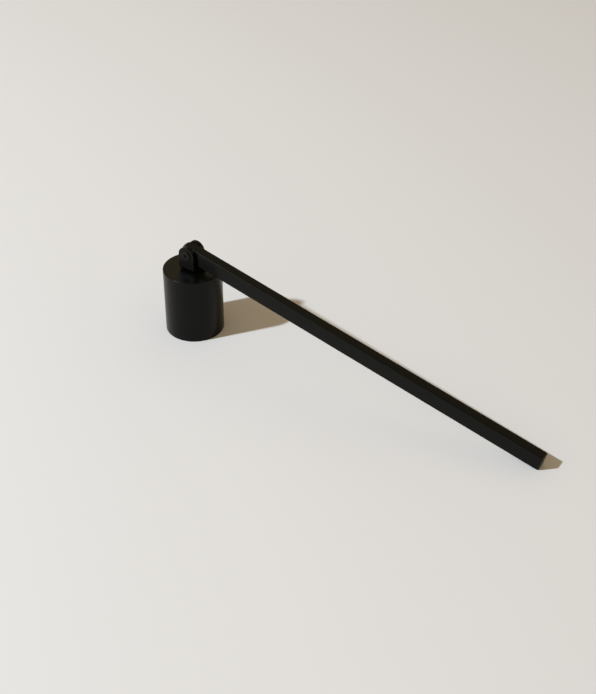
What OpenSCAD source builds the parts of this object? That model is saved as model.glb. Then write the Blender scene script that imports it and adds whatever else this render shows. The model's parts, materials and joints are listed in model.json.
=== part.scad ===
// Candle snuffer with a hinged handle.
// Frame: origin at the centre of the bell's mouth, on the surface that the bell stands on.
// +Z runs up the bell's axis, and the handle lies in the XZ plane with its tip towards +X.

/* [Bell] */
// Outer diameter of the bell
bell_d = 27.5; // [22:0.5:40]
// Height of the bell from its rim to its crown
bell_h = 32.5; // [26:0.5:45]
// Thickness of the bell's side wall
bell_wall = 1.2; // [0.8:0.1:2]
// Thickness of the crown, the closed end of the bell
crown_t = 1.6; // [1.2:0.1:3]
// Rounding of the crown's outer edge
crown_edge_r = 0.3; // [0.2:0.1:1]
// Rounding inside the bell, between the wall and the crown
crown_inner_r = 3.6; // [3.4:0.1:5]
// Rounding of the rim's outer edge
rim_edge_r = 0.3; // [0.1:0.05:0.6]

/* [Clevis] */
// Thickness of the bent strip
strip_t = 1.5; // [1:0.1:2]
// Width of the strip, which is also the width of each ear
ear_w = 8.4; // [7.2:0.1:11]
// Outer radius of the two bends
bend_r = 2; // [2:0.1:2.6]
// Gap between the web and the handle's ball end
end_gap = 2.05; // [0.8:0.05:5]

/* [Handle] */
// Length from the pivot to the tip
handle_len = 184; // [120:1:240]
// Thickness of the bar, across the ears
bar_t = 4.8; // [3.5:0.1:6]
// Height of the bar
bar_h = 7.3; // [5.5:0.1:8.8]
// How far the radius of the ball end passes half the bar's height
end_over = 1.1; // [0.9:0.05:2]
// Rounding of the bar's four long edges
bar_edge_r = 0.4; // [0.2:0.05:0.8]
// Rounding of the tip's upper and lower corners
tip_r = 1; // [0.4:0.1:1.6]

/* [Pivot] */
// Outer diameter of the pivot barrel
barrel_d = 3.6; // [3.4:0.1:4.4]
// Diameter of the barrel's low head
barrel_head_d = 5.2; // [5:0.1:6.8]
// Height of the barrel's low head
barrel_head_h = 0.5; // [0.4:0.05:1.5]
// Rounding of the edge of the barrel's head
barrel_head_edge_r = 0.3; // [0.1:0.05:0.4]
// Diameter of the centre hole in the barrel's head
barrel_centre_d = 1.4; // [0.8:0.1:2]
// Depth of that centre hole
barrel_centre_depth = 0.6; // [0.4:0.05:0.8]
// Thread diameter of the pivot screw
pivot_thread_d = 2.5; // [2:0.1:2.6]
// Length of the pivot screw under its head
pivot_screw_len = 5; // [3:0.5:6]
// Diameter of the pivot screw's head
pivot_head_d = 5.4; // [4.6:0.1:6.6]
// Height of the pivot screw's head
pivot_head_h = 1.1; // [1:0.1:1.6]
// Rounding of the edge of the pivot screw's head
pivot_head_edge_r = 0.6; // [0.2:0.1:0.9]
// Width across flats of the pivot screw's hexagon socket
pivot_socket_af = 2; // [1.5:0.1:2.2]
// Depth of the hexagon socket
pivot_socket_depth = 0.9; // [0.6:0.1:1.2]
// Diameter of the two thin washers beside the bar
washer_d = 7; // [5.4:0.1:7.6]
// Thickness of each thin washer
washer_t = 0.3; // [0.2:0.05:0.6]

/* [Bell screw] */
// Thread diameter of the screw that joins the bell to the clevis
bell_thread_d = 3; // [2.5:0.1:3.2]
// Diameter of its pan head
bell_head_d = 5.6; // [5:0.1:6.6]
// Height of its pan head
bell_head_h = 1.9; // [1.6:0.1:2.2]
// Rounding of the edge of its pan head
bell_head_edge_r = 0.9; // [0.4:0.1:1.4]
// How far its end stands above the web
bell_screw_end = 0.5; // [0.1:0.1:1.4]
// Length of each slot of the cross recess
cross_len = 2.8; // [2:0.1:3.2]
// Width of each slot of the cross recess
cross_w = 0.7; // [0.5:0.1:1]
// Depth of the cross recess
cross_depth = 1.1; // [0.8:0.1:1.3]
// Outer diameter of the split lock washer
lock_washer_d = 5.4; // [4.8:0.1:6.6]
// Thickness of the lock washer
lock_washer_t = 0.7; // [0.5:0.1:1]
// Width of the split in the lock washer
lock_washer_split = 0.8; // [0.4:0.1:1.2]

/* [Fits] */
// Radial clearance of the handle on the barrel
run_fit = 0.05; // [0.02:0.01:0.1]
// Radial clearance of the barrel in the ears
ear_fit = 0.04; // [0.02:0.01:0.1]
// Radial clearance of both kinds of washer on what passes through them
washer_fit = 0.1; // [0.05:0.01:0.2]
// Radial clearance of the bell screw in the crown
crown_fit = 0.15; // [0.05:0.01:0.3]
// Radial clearance that stands for each thread's engagement
thread_fit = 0.02; // [0.01:0.01:0.05]
// Clearance on each side of a thin washer
side_fit = 0.05; // [0.03:0.01:0.1]
// Gap between the barrel's end and the pivot screw's head
barrel_end_gap = 0.1; // [0.05:0.05:0.3]

/* [Hidden] */

$fn = 96;
black = "#1b1b1a";
dark_steel = "#262626";
dark_nylon = "#202020";

bell_r = bell_d / 2;
ear_r = ear_w / 2;
end_r = bar_h / 2 + end_over;
gap_w = bar_t + 2 * (washer_t + 2 * side_fit);
clevis_w = gap_w + 2 * strip_t;
pivot_z = bell_h + strip_t + end_gap + end_r;
barrel_len = clevis_w - barrel_end_gap;
thread_depth = pivot_screw_len + 1;
bell_screw_len = lock_washer_t + crown_t + strip_t + bell_screw_end;
bell_seat_z = bell_h - crown_t;

// The handle hangs down until the tip's lower corner rests on the bell's standing plane.
corner_x = handle_len - tip_r;
corner_z = bar_h / 2 - tip_r;
rest_slope = asin((pivot_z - tip_r) / norm([corner_x, corner_z])) - atan2(corner_z, corner_x);

// Quarter section of a solid of revolution with its upper outer corner rounded
module round_top_section(r, h, edge_r) {
    square([r - edge_r, h]);
    square([r, h - edge_r]);
    intersection() {
        translate([r - edge_r, h - edge_r]) circle(edge_r);
        square([r, h]);
    }
}

// Rectangle standing on its lower edge, centred sideways, with its two lower corners rounded
module round_foot_rect(w, h, corner_r) {
    translate([-w / 2, corner_r]) square([w, h - corner_r]);
    translate([corner_r - w / 2, 0]) square([w - 2 * corner_r, h]);
    for (side = [-1, 1]) translate([side * (w / 2 - corner_r), corner_r]) circle(corner_r);
}

// Rectangle centred on the origin with its four corners rounded
module round_rect(w, h, corner_r) {
    square([w - 2 * corner_r, h], center = true);
    square([w, h - 2 * corner_r], center = true);
    for (x = [-1, 1], y = [-1, 1])
        translate([x * (w / 2 - corner_r), y * (h / 2 - corner_r)]) circle(corner_r);
}

// Extrudes an outline drawn in X and Z along Y, centred on the XZ plane
module along_y(len) {
    rotate([90, 0, 0]) translate([0, 0, -len / 2]) linear_extrude(len) children();
}

// Extrudes an outline drawn in Y and Z along X, from x0 to x1
module along_x(x0, x1) {
    translate([x0, 0, 0]) rotate([90, 0, 90]) linear_extrude(x1 - x0) children();
}

// Cylinder along Y, centred on the XZ plane
module y_cylinder(r, len) {
    rotate([90, 0, 0]) translate([0, 0, -len / 2]) cylinder(r = r, h = len);
}

module bell() {
    color(black) difference() {
        rotate_extrude() difference() {
            round_top_section(bell_r, bell_h, crown_edge_r);
            // rim: a rounded outer edge, cut by the square corner that lies outside the arc
            translate([bell_r - rim_edge_r, 0]) difference() {
                translate([0, -1]) square([rim_edge_r + 1, rim_edge_r + 1]);
                translate([0, rim_edge_r]) circle(rim_edge_r);
            }
        }
        translate([0, 0, -1]) rotate_extrude()
            round_top_section(bell_r - bell_wall, bell_seat_z + 1, crown_inner_r);
        cylinder(r = bell_thread_d / 2 + crown_fit, h = bell_h + 1);
    }
}

// Ear outline: straight sides and a round top that is concentric with the pivot
module ear_outline() {
    translate([-ear_r, 0]) square([ear_w, pivot_z - bell_h]);
    translate([0, pivot_z - bell_h]) circle(ear_r);
}

// Section of the bent strip across its two ears
module strip_section() {
    ear_top = pivot_z - bell_h + ear_r + 1;
    difference() {
        round_foot_rect(clevis_w, ear_top, bend_r);
        translate([0, strip_t]) round_foot_rect(gap_w, ear_top, bend_r - strip_t);
    }
}

module clevis() {
    color(black) translate([0, 0, bell_h]) difference() {
        intersection() {
            along_y(clevis_w + 2) ear_outline();
            along_x(-ear_r - 1, ear_r + 1) strip_section();
        }
        translate([0, 0, pivot_z - bell_h]) y_cylinder(barrel_d / 2 + ear_fit, clevis_w + 2);
        translate([0, 0, -1]) cylinder(r = bell_thread_d / 2 + thread_fit, h = strip_t + 2);
    }
}

module bell_screw() {
    head_base_z = bell_seat_z - lock_washer_t;
    color(dark_steel) translate([0, 0, head_base_z]) difference() {
        union() {
            cylinder(r = bell_thread_d / 2, h = bell_screw_len);
            rotate([180, 0, 0]) rotate_extrude()
                round_top_section(bell_head_d / 2, bell_head_h, bell_head_edge_r);
        }
        for (turn = [0, 90]) rotate(turn)
            translate([-cross_len / 2, -cross_w / 2, -bell_head_h - 1])
                cube([cross_len, cross_w, cross_depth + 1]);
    }
}

module bell_lock_washer() {
    color(dark_steel) translate([0, 0, bell_seat_z - lock_washer_t]) difference() {
        cylinder(r = lock_washer_d / 2, h = lock_washer_t);
        translate([0, 0, -1]) cylinder(r = bell_thread_d / 2 + washer_fit, h = lock_washer_t + 2);
        translate([0, -lock_washer_split / 2, -1]) cube([lock_washer_d, lock_washer_split, lock_washer_t + 2]);
    }
}

// Side outline of the straight bar, drawn level, with the pivot at the origin
module bar_outline() {
    translate([0, -bar_h / 2]) square([handle_len - tip_r, bar_h]);
    translate([0, tip_r - bar_h / 2]) square([handle_len, bar_h - 2 * tip_r]);
    for (side = [-1, 1]) translate([corner_x, side * corner_z]) circle(tip_r);
}

// The bar's end is a ball, flattened to the same section as the bar.
module handle() {
    color(black) translate([0, 0, pivot_z]) rotate([0, rest_slope, 0]) difference() {
        intersection() {
            union() {
                along_y(bar_t + 2) bar_outline();
                sphere(end_r);
            }
            along_x(-end_r - 1, handle_len + 1) round_rect(bar_t, bar_h, bar_edge_r);
        }
        y_cylinder(barrel_d / 2 + run_fit, bar_t + 2);
    }
}

// The barrel goes in from the -Y side, where its low head stays outside the ear.
module pivot_barrel() {
    color(dark_steel) translate([0, -clevis_w / 2, pivot_z]) difference() {
        union() {
            rotate([-90, 0, 0]) cylinder(r = barrel_d / 2, h = barrel_len);
            rotate([90, 0, 0]) rotate_extrude()
                round_top_section(barrel_head_d / 2, barrel_head_h, barrel_head_edge_r);
        }
        translate([0, -barrel_head_h - 1, 0])
            rotate([-90, 0, 0]) cylinder(r = barrel_centre_d / 2, h = barrel_centre_depth + 1);
        translate([0, barrel_len - thread_depth, 0])
            rotate([-90, 0, 0]) cylinder(r = pivot_thread_d / 2 + thread_fit, h = thread_depth + 1);
    }
}

// The screw closes the barrel from the +Y side.
module pivot_screw() {
    color(dark_steel) translate([0, clevis_w / 2, pivot_z]) difference() {
        union() {
            rotate([90, 0, 0]) cylinder(r = pivot_thread_d / 2, h = pivot_screw_len);
            rotate([-90, 0, 0]) rotate_extrude()
                round_top_section(pivot_head_d / 2, pivot_head_h, pivot_head_edge_r);
        }
        translate([0, pivot_head_h + 1, 0]) rotate([90, 0, 0])
            cylinder(r = pivot_socket_af / sqrt(3), h = pivot_socket_depth + 1, $fn = 6);
    }
}

module pivot_washers() {
    for (side = [-1, 1])
        color(dark_nylon) translate([0, side * (bar_t / 2 + side_fit + washer_t / 2), pivot_z]) difference() {
            y_cylinder(washer_d / 2, washer_t);
            y_cylinder(barrel_d / 2 + washer_fit, washer_t + 2);
        }
}

bell();
clevis();
bell_screw();
bell_lock_washer();
handle();
pivot_barrel();
pivot_screw();
pivot_washers();
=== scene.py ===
# Candle snuffer: its looks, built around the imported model. Metres, +Z up, with the centre of the
# bell's mouth at the origin and the handle lying in the XZ plane towards +X.
# One section for each piece, in the order in which the snuffer is put together.
import json
import math

import bmesh
import bpy
from mathutils import Matrix, Vector


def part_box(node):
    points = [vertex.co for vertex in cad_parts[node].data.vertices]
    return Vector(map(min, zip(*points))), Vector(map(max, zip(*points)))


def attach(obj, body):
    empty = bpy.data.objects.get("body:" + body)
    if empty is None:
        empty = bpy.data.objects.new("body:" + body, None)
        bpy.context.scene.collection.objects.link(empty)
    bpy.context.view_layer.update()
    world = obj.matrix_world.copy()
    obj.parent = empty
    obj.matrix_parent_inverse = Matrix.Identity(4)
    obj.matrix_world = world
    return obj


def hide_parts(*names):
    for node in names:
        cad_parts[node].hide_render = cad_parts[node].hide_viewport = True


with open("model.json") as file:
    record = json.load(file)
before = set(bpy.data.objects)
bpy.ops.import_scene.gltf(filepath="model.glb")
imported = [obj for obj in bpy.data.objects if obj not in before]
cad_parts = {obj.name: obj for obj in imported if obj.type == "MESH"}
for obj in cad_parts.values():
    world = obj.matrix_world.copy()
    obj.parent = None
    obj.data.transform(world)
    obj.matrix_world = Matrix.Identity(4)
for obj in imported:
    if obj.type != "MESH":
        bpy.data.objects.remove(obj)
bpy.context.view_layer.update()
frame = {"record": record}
MM = 0.001

# --- Camera -------------------------------------------------------------------------------------
# A little over half a metre away, in front and to the right of the bell, looking down at it.
camera_place = Vector((299.4, -361.1, 327.3)) * MM
camera_azimuth = math.radians(33.64)
camera_elevation = math.radians(36.06)
camera_roll = math.radians(0.6)
focal_length = 61.73  # in millimetres, as the sensor is
sensor_width = 36

lens = bpy.data.cameras.new("camera")
lens.sensor_width = sensor_width
lens.lens = focal_length
camera = bpy.data.objects.new("camera", lens)
camera.matrix_world = (Matrix.Translation(camera_place)
                       @ Matrix.Rotation(camera_azimuth, 4, "Z")
                       @ Matrix.Rotation(math.pi / 2 - camera_elevation, 4, "X")
                       @ Matrix.Rotation(camera_roll, 4, "Z"))
bpy.context.scene.collection.objects.link(camera)
bpy.context.scene.camera = camera
bpy.context.scene.view_settings.view_transform = "Standard"

# --- Light --------------------------------------------------------------------------------------
# One soft lamp from the front left, and a warm room that is darker overhead. The lamp stands far
# enough away for its light to fall off only a little across the table.
lamp_travel = Vector((0.431, 0.606, -0.669))
lamp_distance = 2.3
lamp_width = 0.1
lamp_watts = 50
lamp_colour = (0.875, 0.959, 1.066)
wall_glow = (0.56, 0.455, 0.30, 1)
ceiling_glow = (0.128, 0.08, 0.058, 1)
wall_top = 0.62  # sine of the angle above the table, as ceiling_start is
ceiling_start = 0.9

lamp = bpy.data.lights.new("lamp", "AREA")
lamp.shape = "DISK"
lamp.size = lamp_width
lamp.energy = lamp_watts
lamp.color = lamp_colour
lamp_object = bpy.data.objects.new("lamp", lamp)
lamp_object.matrix_world = (Matrix.Translation(-lamp_distance * lamp_travel.normalized())
                            @ lamp_travel.to_track_quat("-Z", "Y").to_matrix().to_4x4())
bpy.context.scene.collection.objects.link(lamp_object)

room = bpy.data.worlds.new("room")
room.use_nodes = True
bpy.context.scene.world = room
nodes, links = room.node_tree.nodes, room.node_tree.links
nodes.clear()
direction = nodes.new("ShaderNodeTexCoord")
height = nodes.new("ShaderNodeSeparateXYZ")
bands = nodes.new("ShaderNodeValToRGB")
glow = nodes.new("ShaderNodeBackground")
room_out = nodes.new("ShaderNodeOutputWorld")
bands.color_ramp.elements[0].position = wall_top
bands.color_ramp.elements[0].color = wall_glow
bands.color_ramp.elements[1].position = ceiling_start
bands.color_ramp.elements[1].color = ceiling_glow
links.new(direction.outputs["Generated"], height.inputs[0])
links.new(height.outputs["Z"], bands.inputs["Fac"])
links.new(bands.outputs["Color"], glow.inputs["Color"])
links.new(glow.outputs["Background"], room_out.inputs["Surface"])

# --- Table top ----------------------------------------------------------------------------------
# A plain pale board with a matt surface. It isn't part of the snuffer: the bell stands on it, and
# the tip of the handle rests on it.
table_size = 6.0
table_colour = (0.80, 0.80, 0.79, 1)
table_roughness = 0.9
table_specular = 0.1
crease_angle = math.radians(35)
merge_distance = 0.0005 * MM


def new_material(name):
    """An empty material: returns it with its nodes, its links and its Principled shader."""
    material = bpy.data.materials.new(name)
    material.use_nodes = True
    tree = material.node_tree
    return material, tree.nodes, tree.links, tree.nodes["Principled BSDF"]


def finished(bm, name, material):
    """Closes a bmesh and makes it an object: smooth, but creased where it turns more sharply."""
    bmesh.ops.remove_doubles(bm, verts=bm.verts[:], dist=merge_distance)
    bmesh.ops.recalc_face_normals(bm, faces=bm.faces[:])
    for face in bm.faces:
        face.smooth = True
    for edge in bm.edges:
        edge.smooth = edge.calc_face_angle(0) < crease_angle
    mesh = bpy.data.meshes.new(name)
    bm.to_mesh(mesh)
    bm.free()
    mesh.materials.append(material)
    piece = bpy.data.objects.new(name, mesh)
    even_flats = piece.modifiers.new("even_flats", "WEIGHTED_NORMAL")
    even_flats.keep_sharp = True
    bpy.context.scene.collection.objects.link(piece)
    return piece


pale_board, nodes, links, shader = new_material("pale_board")
shader.inputs["Base Color"].default_value = table_colour
shader.inputs["Roughness"].default_value = table_roughness
shader.inputs["Specular IOR Level"].default_value = table_specular
bm = bmesh.new()
bmesh.ops.create_grid(bm, x_segments=1, y_segments=1, size=table_size / 2)
finished(bm, "table_top", pale_board)

# --- Bell ---------------------------------------------------------------------------------------
# A drawn steel cup, mouth down, with a rounded crown edge and a fillet inside. It is powder coated
# in satin black, inside and out, and has one hole in the crown for its screw.
bell_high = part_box("bell")[1]
bell_r = bell_high.x
bell_top = bell_high.z
bell_wall = 1.2 * MM
crown_t = 1.6 * MM
crown_edge_r = 0.3 * MM
crown_inner_r = 3.6 * MM
rim_edge_r = 0.3 * MM
rim_inner_r = 0.15 * MM
bell_hole_r = 1.65 * MM
bell_hole_edge_r = 0.1 * MM
bell_steps = 160
coat_colours = ((0.0020, 0.0023, 0.0013, 1), (0.0055, 0.0055, 0.0044, 1))  # sound, then rubbed
coat_specular = 0.14
coat_roughness = (0.25, 0.34)  # clean, then handled
coat_peel = (1.3 * MM, 0.006 * MM)  # size and depth, as for the grain
coat_grain = (0.14 * MM, 0.0011 * MM)
coat_smears = (9 * MM, 2.25 * MM)  # sizes of the smears and of the flecks in them
coat_wear = (0.25 * MM, 3 * MM)  # width along an edge, and size of its patches


def turned(bm, corners, steps, closed=True, arc_segments=8):
    """Turns an outline of (radius, height, rounding) corners once about Z."""
    known = set(bm.verts)
    outline = [bm.verts.new((radius, 0, height)) for radius, height, rounding in corners]
    for ends in zip(outline, outline[1:] + (outline[:1] if closed else [])):
        bm.edges.new(ends)
    for vert, rounding in zip(outline, [corner[2] for corner in corners]):
        if rounding:
            bmesh.ops.bevel(bm, geom=[vert], offset=rounding, offset_type="OFFSET",
                            segments=arc_segments, profile=0.5, affect="VERTICES", material=-1)
    drawn = [vert for vert in bm.verts if vert not in known]
    lines = [edge for edge in bm.edges if edge.verts[0] in drawn and edge.verts[1] in drawn]
    bmesh.ops.spin(bm, geom=drawn + lines, cent=(0, 0, 0), axis=(0, 0, 1), angle=2 * math.pi,
                   steps=steps, use_merge=True)


def new_group(name, inputs, outputs):
    """A shader node group with float inputs and outputs of those names; returns its parts."""
    group = bpy.data.node_groups.new(name, "ShaderNodeTree")
    for label in inputs:
        group.interface.new_socket(label, in_out="INPUT", socket_type="NodeSocketFloat")
    for label in outputs:
        group.interface.new_socket(label, in_out="OUTPUT", socket_type="NodeSocketFloat")
    entry = group.nodes.new("NodeGroupInput")
    leave = group.nodes.new("NodeGroupOutput")
    return group, group.nodes, group.links, entry.outputs, leave.inputs


def add_noise(nodes, links, place, scale, detail, roughness):
    """A noise texture at that place, with its scale from an input socket of the group."""
    noise = nodes.new("ShaderNodeTexNoise")
    noise.inputs["Detail"].default_value = detail
    noise.inputs["Roughness"].default_value = roughness
    links.new(place, noise.inputs["Vector"])
    links.new(scale, noise.inputs["Scale"])
    return noise.outputs["Fac"]


def add_maths(nodes, links, operation, first, second):
    """A Math node; either side is a socket or a number."""
    maths = nodes.new("ShaderNodeMath")
    maths.operation = operation
    for socket, value in zip(maths.inputs, (first, second)):
        if isinstance(value, (int, float)):
            socket.default_value = value
        else:
            links.new(value, socket)
    return maths.outputs[0]


# Two sizes of bump in one height in metres: broad peel, and the fine grain of the surface.
surface_relief, nodes, links, given, out = new_group(
    "surface_relief", ("Peel Scale", "Peel Depth", "Grain Scale", "Grain Depth"), ("Height",))
place = nodes.new("ShaderNodeTexCoord").outputs["Object"]
peel = add_noise(nodes, links, place, given["Peel Scale"], detail=1.5, roughness=0.5)
grain = add_noise(nodes, links, place, given["Grain Scale"], detail=2.0, roughness=0.6)
peel = add_maths(nodes, links, "MULTIPLY", peel, given["Peel Depth"])
grain = add_maths(nodes, links, "MULTIPLY", grain, given["Grain Depth"])
links.new(add_maths(nodes, links, "ADD", peel, grain), out["Height"])

# Where the surface has been handled: broad smears broken by small flecks, from 0 to 1.
smear_gain = 1.4
fleck_gain = 0.6
smear_floor = 0.5
handling_smears, nodes, links, given, out = new_group(
    "handling_smears", ("Scale", "Fleck Scale"), ("Smear",))
place = nodes.new("ShaderNodeTexCoord").outputs["Object"]
smear = add_noise(nodes, links, place, given["Scale"], detail=3.0, roughness=0.6)
fleck = add_noise(nodes, links, place, given["Fleck Scale"], detail=2.0, roughness=0.7)
smear = add_maths(nodes, links, "MULTIPLY", smear, smear_gain)
fleck = add_maths(nodes, links, "MULTIPLY", fleck, fleck_gain)
smear = add_maths(nodes, links, "ADD", smear, fleck)
smear = add_maths(nodes, links, "SUBTRACT", smear, smear_floor)
clamp = nodes.new("ShaderNodeClamp")
links.new(smear, clamp.inputs["Value"])
links.new(clamp.outputs["Result"], out["Smear"])

# How much an edge has been rubbed, from 0 to 1, broken up so that no edge is worn evenly.
wear_gain = 6.0
patch_start = 0.35
patch_gain = 3.0
bevel_samples = 4
edge_wear, nodes, links, given, out = new_group("edge_wear", ("Radius", "Scale"), ("Wear",))
place = nodes.new("ShaderNodeTexCoord").outputs["Object"]
rounded = nodes.new("ShaderNodeBevel")
rounded.samples = bevel_samples
links.new(given["Radius"], rounded.inputs["Radius"])
true_normal = nodes.new("ShaderNodeNewGeometry").outputs["True Normal"]
facing = nodes.new("ShaderNodeVectorMath")
facing.operation = "DOT_PRODUCT"
links.new(rounded.outputs["Normal"], facing.inputs[0])
links.new(true_normal, facing.inputs[1])
away = add_maths(nodes, links, "SUBTRACT", 1.0, facing.outputs["Value"])
away = add_maths(nodes, links, "MULTIPLY", away, wear_gain)
broken = add_noise(nodes, links, place, given["Scale"], detail=4.0, roughness=0.7)
broken = add_maths(nodes, links, "SUBTRACT", broken, patch_start)
broken = add_maths(nodes, links, "MULTIPLY", broken, patch_gain)
clamp = nodes.new("ShaderNodeClamp")
links.new(add_maths(nodes, links, "MULTIPLY", away, broken), clamp.inputs["Value"])
links.new(clamp.outputs["Result"], out["Wear"])


def place_group(nodes, group, **values):
    """Puts a node group into a material with its own values; returns its outputs."""
    placed = nodes.new("ShaderNodeGroup")
    placed.node_tree = group
    for label, value in values.items():
        placed.inputs[label.replace("_", " ")].default_value = value
    return placed.outputs


def worn_finish(name, colours, specular, roughness, peel, grain, smears, wear):
    """A material whose colour follows wear, its roughness smears, and its bump peel and grain."""
    material, nodes, links, shader = new_material(name)
    shader.inputs["Specular IOR Level"].default_value = specular
    relief = place_group(nodes, surface_relief, Peel_Scale=1 / peel[0], Peel_Depth=peel[1],
                         Grain_Scale=1 / grain[0], Grain_Depth=grain[1])
    smeared = place_group(nodes, handling_smears, Scale=1 / smears[0], Fleck_Scale=1 / smears[1])
    worn = place_group(nodes, edge_wear, Radius=wear[0], Scale=1 / wear[1])
    tint = nodes.new("ShaderNodeMix")
    tint.data_type = "RGBA"
    tint.inputs["A"].default_value, tint.inputs["B"].default_value = colours
    links.new(worn["Wear"], tint.inputs["Factor"])
    links.new(tint.outputs["Result"], shader.inputs["Base Color"])
    spread = nodes.new("ShaderNodeMapRange")
    spread.inputs["To Min"].default_value, spread.inputs["To Max"].default_value = roughness
    links.new(smeared["Smear"], spread.inputs["Value"])
    links.new(spread.outputs["Result"], shader.inputs["Roughness"])
    bump = nodes.new("ShaderNodeBump")
    bump.inputs["Distance"].default_value = 1.0
    links.new(relief["Height"], bump.inputs["Height"])
    links.new(bump.outputs["Normal"], shader.inputs["Normal"])
    return material


def powder_coat(name):
    """Satin black powder coat on steel, a little greyer where its edges are rubbed."""
    return worn_finish(name, coat_colours, coat_specular, coat_roughness, coat_peel, coat_grain,
                       coat_smears, coat_wear)


bm = bmesh.new()
turned(bm, [(bell_hole_r, bell_top, bell_hole_edge_r),
            (bell_r, bell_top, crown_edge_r),
            (bell_r, 0, rim_edge_r),
            (bell_r - bell_wall, 0, rim_inner_r),
            (bell_r - bell_wall, bell_top - crown_t, crown_inner_r),
            (bell_hole_r, bell_top - crown_t, bell_hole_edge_r)], bell_steps)
bell = finished(bm, "bell_cup", powder_coat("bell_powder_coat"))
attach(bell, "bell_head")
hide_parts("bell")

# --- Clevis -------------------------------------------------------------------------------------
# A steel strip bent to a U, with two round-topped ears for the pivot and a tapped hole in its web.
# Its cut edges are only just broken before it is coated like the bell. It stands on the crown.
clevis_low, clevis_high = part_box("clevis")
pivot = Vector(frame["record"]["behaviour"]["joints"][0]["pos_m"])
ear_r = clevis_high.x
strip_t = 1.5 * MM
bend_r = 2 * MM
ear_hole_r = 1.84 * MM
web_hole_r = 1.52 * MM
web_clear = 0.9 * web_hole_r  # edges of the web whose X is less than this stay sharp
strip_edge_r = 0.35 * MM  # at most: the bevel's own clamp brings it down to 0.02 mm
ear_steps = 64
bend_steps = 8
edge_segments = 4
sharp_angle = math.radians(50)
almost = 0.999  # share of a size past which a point counts as lying at its end
same_level = 0.01 * MM


def ring(bm, segments, radius, centre, axis=None):
    """A circle of edges round a centre, lying flat, or standing in the XZ plane if axis is "Y"."""
    turn = Matrix.Rotation(math.pi / 2, 4, "X") if axis == "Y" else Matrix()
    made = bmesh.ops.create_circle(bm, segments=segments, radius=radius,
                                   matrix=Matrix.Translation(centre) @ turn)["verts"]
    return made, [edge for edge in bm.edges if edge.verts[0] in made and edge.verts[1] in made]


def extrude_edges(bm, edges, move):
    """Extrudes edges by a move; returns the new vertices and the new edges beside them."""
    made = bmesh.ops.extrude_edge_only(bm, edges=edges)["geom"]
    verts = [part for part in made if isinstance(part, bmesh.types.BMVert)]
    bmesh.ops.translate(bm, verts=verts, vec=move)
    edges = [part for part in made if isinstance(part, bmesh.types.BMEdge)]
    return verts, [edge for edge in edges if edge.verts[0] in verts and edge.verts[1] in verts]


def middle(edge):
    """The point halfway along an edge."""
    return (edge.verts[0].co + edge.verts[1].co) / 2


def round_edges(bm, edges, radius, segments=edge_segments):
    """Rounds edges by a bevel of circular section."""
    bmesh.ops.bevel(bm, geom=edges, offset=radius, offset_type="OFFSET", segments=segments,
                    profile=0.5, affect="EDGES", material=-1, loop_slide=True, clamp_overlap=True)


bm = bmesh.new()
ear_place = Vector((0, clevis_low.y, pivot.z))
hole_edges = ring(bm, ear_steps, ear_hole_r, ear_place, "Y")[1]
top_verts, top_edges = ring(bm, ear_steps, ear_r, ear_place, "Y")
bmesh.ops.bridge_loops(bm, edges=hole_edges + top_edges)
lower = [edge for edge in bm.edges if edge.is_boundary and edge.verts[0] in top_verts
         and middle(edge).z < pivot.z]
foot_verts, foot_edges = extrude_edges(bm, lower, (0, 0, 0))
for vert in foot_verts:
    vert.co.z = bell_top + bend_r
bmesh.ops.spin(bm, geom=foot_verts + foot_edges, axis=(1, 0, 0), angle=math.pi / 2,
               cent=(0, clevis_low.y + bend_r, bell_top + bend_r), steps=bend_steps,
               use_merge=False)
bmesh.ops.mirror(bm, geom=bm.verts[:] + bm.edges[:] + bm.faces[:], axis="Y", merge_dist=0)
bmesh.ops.remove_doubles(bm, verts=bm.verts[:], dist=merge_distance)
web_rows = [edge for edge in bm.edges if edge.is_boundary
            and max(abs(vert.co.z - bell_top) for vert in edge.verts) < same_level]
for side in (-1, 1):
    ends = [vert for edge in web_rows for vert in edge.verts if side * vert.co.x > almost * ear_r]
    web_rows.append(bm.edges.new(list(dict.fromkeys(ends))))
web_rows += ring(bm, ear_steps, web_hole_r, (0, 0, bell_top))[1]
bmesh.ops.triangle_fill(bm, edges=web_rows, use_beauty=True)
bmesh.ops.recalc_face_normals(bm, faces=bm.faces[:])
web = min(bm.faces, key=lambda face: face.calc_center_median().z)
if web.normal.z > 0:
    bmesh.ops.reverse_faces(bm, faces=bm.faces[:])
bmesh.ops.solidify(bm, geom=bm.faces[:], thickness=strip_t)
round_edges(bm, [edge for edge in bm.edges if edge.calc_face_angle(0) > sharp_angle
                 and (abs(middle(edge).x) > web_clear or middle(edge).z > bell_top + bend_r)],
            strip_edge_r)
clevis = finished(bm, "clevis_strip", powder_coat("clevis_powder_coat"))
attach(clevis, "bell_head")
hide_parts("clevis")

# --- Bell screw ---------------------------------------------------------------------------------
# A blackened steel pan-head screw with a cross recess. It goes up through the lock washer and the
# crown into the tapped web of the clevis, and its end stands a little above the web.
screw_low, screw_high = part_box("bell_screw")
bell_thread_r = 1.5 * MM
bell_thread_pitch = 0.5 * MM
bell_head_r = screw_high.x
bell_head_h = 1.9 * MM
bell_head_edge_r = 0.9 * MM
cross_len = 2.8 * MM
cross_w = 0.7 * MM
cross_depth = 1.1 * MM
cross_taper = 0.72  # share of its size that the recess has at its floor
head_foot_r = 0.1 * MM
head_steps = 64
flat_share = 0.95  # of the radius inside a head's rounded edge, where its turned top ends
thread_steps = 32
thread_depth_share = 0.54  # of the pitch, and the crest's two ends are shares of it too
thread_crest = (3 / 8, 5 / 8)
spare_turns = 3  # two below the thread and one above it, cut off to leave flat ends
thread_merge = 0.002 * MM
thread_cut = 0.0001 * MM
thread_overlap = 0.05 * MM
steel_colours = ((0.0024, 0.0025, 0.0018, 1), (0.012, 0.012, 0.011, 1))
steel_specular = 0.16
steel_roughness = (0.28, 0.42)
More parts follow.
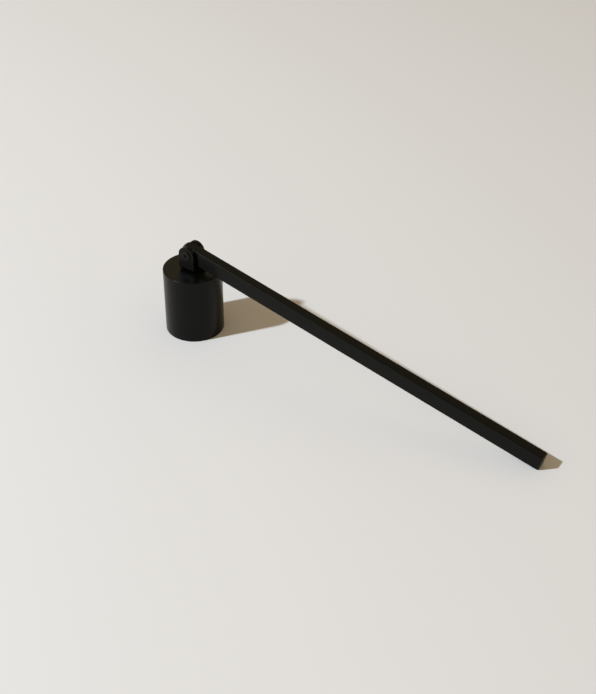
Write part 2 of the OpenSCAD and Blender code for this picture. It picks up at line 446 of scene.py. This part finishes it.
steel_peel = (0.5 * MM, 0.002 * MM)
steel_grain = (0.08 * MM, 0.0006 * MM)
steel_smears = (2.5 * MM, 0.4 * MM)
steel_wear = (0.12 * MM, 0.8 * MM)


def blackened_steel(name):
    """Steel with an oiled black oxide, brighter where a tool or a neighbour has rubbed an edge."""
    return worn_finish(name, steel_colours, steel_specular, steel_roughness, steel_peel,
                       steel_grain, steel_smears, steel_wear)


def add_thread(bm, radius, pitch, bottom, top):
    """Adds a threaded rod along Z: one pitch of the thread's section is spun up as a helix."""
    rod = bmesh.new()
    root = radius - thread_depth_share * pitch
    crest_low, crest_high = thread_crest
    section = ((root, 0), (radius, crest_low * pitch), (radius, crest_high * pitch), (root, pitch))
    turns = math.ceil((top - bottom) / pitch) + spare_turns
    start = bottom - (spare_turns - 1) * pitch
    verts = [rod.verts.new((r, 0, start + z)) for r, z in section]
    edges = [rod.edges.new(ends) for ends in zip(verts, verts[1:])]
    bmesh.ops.spin(rod, geom=verts + edges, cent=(0, 0, 0), axis=(0, 0, 1),
                   dvec=(0, 0, pitch / thread_steps), angle=turns * 2 * math.pi,
                   steps=turns * thread_steps, use_merge=False)
    bmesh.ops.remove_doubles(rod, verts=rod.verts[:], dist=thread_merge)
    for level, side in ((bottom, -1), (top, 1)):
        bmesh.ops.bisect_plane(rod, geom=rod.verts[:] + rod.edges[:] + rod.faces[:],
                               plane_co=(0, 0, level), plane_no=(0, 0, side), clear_outer=True,
                               dist=thread_cut)
    bmesh.ops.holes_fill(rod, edges=[edge for edge in rod.edges if edge.is_boundary], sides=0)
    join(bm, rod)


def join(bm, other):
    """Moves another bmesh's shapes into bm and frees it."""
    mesh = bpy.data.meshes.new("joined")
    other.to_mesh(mesh)
    other.free()
    bm.from_mesh(mesh)
    bpy.data.meshes.remove(mesh)


def add_head(bm, radius, height, edge_r, recess, depth, taper):
    """Adds a screw head from Z = 0 up, with a recess whose outline is drawn by the recess call."""
    head = bmesh.new()
    turned(head, [(0, 0, 0), (radius, 0, head_foot_r), (radius, height, edge_r),
                  (flat_share * (radius - edge_r), height, 0)], head_steps, closed=False)
    rim = [edge for edge in head.edges if edge.is_boundary
           and min(vert.co.z for vert in edge.verts) > almost * height]
    floor = recess(head, height)
    walls = [edge for edge in head.edges if edge.is_boundary and edge not in rim
             and min(vert.co.z for vert in edge.verts) > almost * height]
    sunk = bmesh.ops.extrude_face_region(head, geom=floor)["geom"]
    sunk = [part for part in sunk if isinstance(part, bmesh.types.BMVert)]
    bmesh.ops.delete(head, geom=floor, context="FACES_ONLY")
    bmesh.ops.translate(head, verts=sunk, vec=(0, 0, -depth))
    bmesh.ops.scale(head, verts=sunk, vec=(taper, taper, 1))
    bmesh.ops.triangle_fill(head, edges=rim + walls, use_beauty=True)
    loose = [edge for edge in head.edges if not edge.link_faces]
    bmesh.ops.delete(head, geom=loose, context="EDGES")
    join(bm, head)


def cross_recess(bm, height):
    """Faces in the shape of a cross at that height: a square with an arm on each side."""
    known = set(bm.faces)
    square = bmesh.ops.create_grid(bm, x_segments=1, y_segments=1, size=cross_w / 2,
                                   matrix=Matrix.Translation((0, 0, height)))["verts"]
    for edge in [edge for edge in bm.edges if edge.verts[0] in square and edge.verts[1] in square]:
        outward = Vector((middle(edge).x, middle(edge).y, 0)).normalized()
        extrude_edges(bm, [edge], outward * (cross_len - cross_w) / 2)
    return [face for face in bm.faces if face not in known]


bm = bmesh.new()
add_head(bm, bell_head_r, bell_head_h, bell_head_edge_r, cross_recess, cross_depth, cross_taper)
bell_screw_reach = screw_high.z - screw_low.z - bell_head_h
add_thread(bm, bell_thread_r, bell_thread_pitch, -bell_screw_reach, thread_overlap)
bm.transform(Matrix.Translation((0, 0, screw_low.z + bell_head_h))
             @ Matrix.Rotation(math.pi, 4, "X"))
bell_screw = finished(bm, "bell_pan_screw", blackened_steel("bell_screw_steel"))
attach(bell_screw, "bell_head")
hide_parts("bell_screw")

# --- Bell lock washer ---------------------------------------------------------------------------
# A split spring washer of blackened steel, pressed flat between the screw's head and the crown, so
# that levering on the handle can't turn the screw loose.
lock_low, lock_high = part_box("bell_lock_washer")
lock_outer_r = -lock_low.x
lock_inner_r = 1.6 * MM
lock_split = 0.8 * MM
lock_edge_r = 0.08 * MM
lock_steps = 64
washer_segments = 3

bm = bmesh.new()
section = [bm.verts.new((radius, 0, height)) for radius, height in (
    (lock_inner_r, lock_low.z), (lock_outer_r, lock_low.z),
    (lock_outer_r, lock_high.z), (lock_inner_r, lock_high.z))]
bm.faces.new(section)
bmesh.ops.bevel(bm, geom=bm.verts[:], offset=lock_edge_r, offset_type="OFFSET",
                segments=washer_segments, profile=0.5, affect="VERTICES", material=-1)
half_gap = math.asin(lock_split / (lock_inner_r + lock_outer_r))
bm.transform(Matrix.Rotation(half_gap, 4, "Z"))
bmesh.ops.spin(bm, geom=bm.verts[:] + bm.edges[:] + bm.faces[:], cent=(0, 0, 0), axis=(0, 0, 1),
               angle=2 * (math.pi - half_gap), steps=lock_steps, use_merge=False)
lock_washer = finished(bm, "bell_spring_washer", blackened_steel("lock_washer_steel"))
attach(lock_washer, "bell_head")
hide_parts("bell_lock_washer")

# --- Handle -------------------------------------------------------------------------------------
# A straight steel bar of rectangular section. One end is turned to a ball in line with its sides
# and bored for the pivot. Its edges are broken, and it is coated like the bell.
handle_len = 184 * MM  # from the pivot to the tip
half_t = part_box("handle")[1].y
bar_h = 7.3 * MM
half_bar = bar_h / 2
end_over = 1.1 * MM
ball_r = half_bar + end_over
bore_r = 1.85 * MM
tip_r = 1 * MM
tip_segments = 8
bar_edge_r = 0.4 * MM
bar_sharp_angle = math.radians(30)
end_cells = (8, 12)  # across the bar and up it
bore_steps = 64
tip_reach = math.hypot(handle_len - tip_r, half_bar - tip_r)
rest_slope = (math.asin((pivot.z - tip_r) / tip_reach)
              - math.atan2(half_bar - tip_r, handle_len - tip_r))

bm = bmesh.new()
standing = Matrix.Rotation(math.pi / 2, 4, "Y") @ Matrix.Rotation(math.pi / 2, 4, "Z")
ball_end = bmesh.ops.create_grid(bm, x_segments=end_cells[0], y_segments=end_cells[1], size=1,
                                 matrix=standing)["verts"]
bmesh.ops.scale(bm, verts=ball_end, vec=(1, half_t, half_bar))
tip_end = bmesh.ops.extrude_face_region(bm, geom=bm.faces[:])["geom"]
tip_end = [part for part in tip_end if isinstance(part, bmesh.types.BMVert)]
bmesh.ops.translate(bm, verts=tip_end, vec=(handle_len, 0, 0))
for vert in ball_end:
    vert.co.x = -math.sqrt(ball_r ** 2 - vert.co.y ** 2 - vert.co.z ** 2)
bmesh.ops.dissolve_faces(bm, faces=[face for face in bm.faces
                                    if all(vert in tip_end for vert in face.verts)])
seams = [edge for edge in bm.edges if edge.calc_length() > handle_len
         and (abs(middle(edge).y) < almost * half_t or abs(middle(edge).z) < almost * half_bar)]
bmesh.ops.dissolve_edges(bm, edges=seams, use_verts=True)
bmesh.ops.recalc_face_normals(bm, faces=bm.faces[:])
round_edges(bm, [edge for edge in bm.edges
                 if min(vert.co.x for vert in edge.verts) > almost * handle_len
                 and abs(edge.verts[0].co.z - edge.verts[1].co.z) < same_level],
            tip_r, tip_segments)
round_edges(bm, [edge for edge in bm.edges if edge.calc_face_angle(0) > bar_sharp_angle],
            bar_edge_r)
bore_edges = []
for side in (-1, 1):
    flank = max(bm.faces, key=lambda face: side * face.normal.y * face.calc_area())
    outline = flank.edges[:]
    bmesh.ops.delete(bm, geom=[flank], context="FACES_ONLY")
    rim = ring(bm, bore_steps, bore_r, (0, side * half_t, 0), "Y")[1]
    bmesh.ops.triangle_fill(bm, edges=outline + rim, use_beauty=True)
    bore_edges += rim
bmesh.ops.bridge_loops(bm, edges=bore_edges)
bm.transform(Matrix.Translation(pivot) @ Matrix.Rotation(rest_slope, 4, "Y"))
handle = finished(bm, "handle_bar", powder_coat("handle_powder_coat"))
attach(handle, "handle_arm")
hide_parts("handle")

# --- Pivot barrel -------------------------------------------------------------------------------
# A blackened steel sleeve nut with a low flat head, turned between centres. It goes through both
# ears and the bar from the front, and the handle turns on it. Its far half is tapped.
barrel_low, barrel_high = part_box("pivot_barrel")
barrel_r = 1.8 * MM
barrel_head_r = barrel_high.x
barrel_head_h = clevis_low.y - barrel_low.y
barrel_head_edge_r = 0.3 * MM
barrel_bore_r = 1.27 * MM
barrel_bore_len = 6 * MM
barrel_end_r = 0.2 * MM
barrel_head_foot_r = 0.06 * MM
barrel_bore_edge_r = 0.1 * MM
centre_hole_r = 0.7 * MM
centre_hole_edge_r = 0.08 * MM
centre_hole_depth = 0.6 * MM
centre_hole_floor_r = 0.45 * MM

bm = bmesh.new()
barrel_end = clevis_low.y - barrel_high.y
turned(bm, [(0, barrel_head_h - centre_hole_depth, 0),
            (centre_hole_floor_r, barrel_head_h - centre_hole_depth, 0),
            (centre_hole_r, barrel_head_h, centre_hole_edge_r),
            (barrel_head_r, barrel_head_h, barrel_head_edge_r),
            (barrel_head_r, 0, barrel_head_foot_r),
            (barrel_r, 0, 0),
            (barrel_r, barrel_end, barrel_end_r),
            (barrel_bore_r, barrel_end, barrel_bore_edge_r),
            (barrel_bore_r, barrel_end + barrel_bore_len, 0),
            (0, barrel_end + barrel_bore_len, 0)], head_steps, closed=False)
bm.transform(Matrix.Translation((pivot.x, clevis_low.y, pivot.z))
             @ Matrix.Rotation(math.pi / 2, 4, "X"))
barrel = finished(bm, "pivot_sleeve_nut", blackened_steel("pivot_barrel_steel"))
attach(barrel, "bell_head")
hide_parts("pivot_barrel")

# --- Pivot screw --------------------------------------------------------------------------------
# A blackened steel screw with a low round head and a hexagon socket. It closes the barrel from the
# far side, and clamps only the ears, so the handle stays free.
pivot_low, pivot_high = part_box("pivot_screw")
pivot_thread_r = 1.25 * MM
pivot_thread_pitch = 0.45 * MM
pivot_head_h = pivot_high.y - clevis_high.y
pivot_head_r = pivot_high.x
pivot_head_edge_r = 0.6 * MM
socket_width = 2 * MM  # across its flats
socket_depth = 0.9 * MM


def hexagon_socket(bm, height):
    """A hexagonal face at that height."""
    known = set(bm.faces)
    bmesh.ops.create_circle(bm, segments=6, radius=socket_width / math.sqrt(3), cap_ends=True,
                            matrix=Matrix.Translation((0, 0, height)))
    return [face for face in bm.faces if face not in known]


bm = bmesh.new()
add_head(bm, pivot_head_r, pivot_head_h, pivot_head_edge_r, hexagon_socket, socket_depth, 1)
add_thread(bm, pivot_thread_r, pivot_thread_pitch, pivot_low.y - clevis_high.y, thread_overlap)
bm.transform(Matrix.Translation((pivot.x, clevis_high.y, pivot.z))
             @ Matrix.Rotation(-math.pi / 2, 4, "X"))
pivot_screw = finished(bm, "pivot_socket_screw", blackened_steel("pivot_screw_steel"))
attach(pivot_screw, "bell_head")
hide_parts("pivot_screw")

# --- Pivot washers ------------------------------------------------------------------------------
# Two thin washers of black nylon on the barrel, one on each side of the bar. They keep the coated
# faces of the bar and the ears from rubbing on each other.
washer_low, washer_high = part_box("pivot_washers")
washer_r = washer_high.x
washer_hole_r = 1.9 * MM
washer_t = 0.3 * MM
washer_edge_r = 0.06 * MM
nylon_colours = ((0.006, 0.006, 0.0055, 1), (0.011, 0.011, 0.0105, 1))
nylon_specular = 0.3
nylon_roughness = (0.45, 0.6)
nylon_peel = (0.6 * MM, 0.003 * MM)
nylon_grain = (0.1 * MM, 0.001 * MM)
nylon_smears = (2 * MM, 0.3 * MM)
nylon_wear = (0.08 * MM, 0.7 * MM)

bm = bmesh.new()
for near_face in (washer_low.y, washer_high.y - washer_t):
    disc = bmesh.new()
    turned(disc, [(radius, height, washer_edge_r) for radius, height in (
        (washer_hole_r, 0), (washer_r, 0), (washer_r, washer_t), (washer_hole_r, washer_t))],
        head_steps, arc_segments=washer_segments)
    disc.transform(Matrix.Translation((pivot.x, near_face, pivot.z))
                   @ Matrix.Rotation(-math.pi / 2, 4, "X"))
    join(bm, disc)
black_nylon = worn_finish("black_nylon", nylon_colours, nylon_specular, nylon_roughness,
                          nylon_peel, nylon_grain, nylon_smears, nylon_wear)
washers = finished(bm, "pivot_nylon_washers", black_nylon)
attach(washers, "bell_head")
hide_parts("pivot_washers")
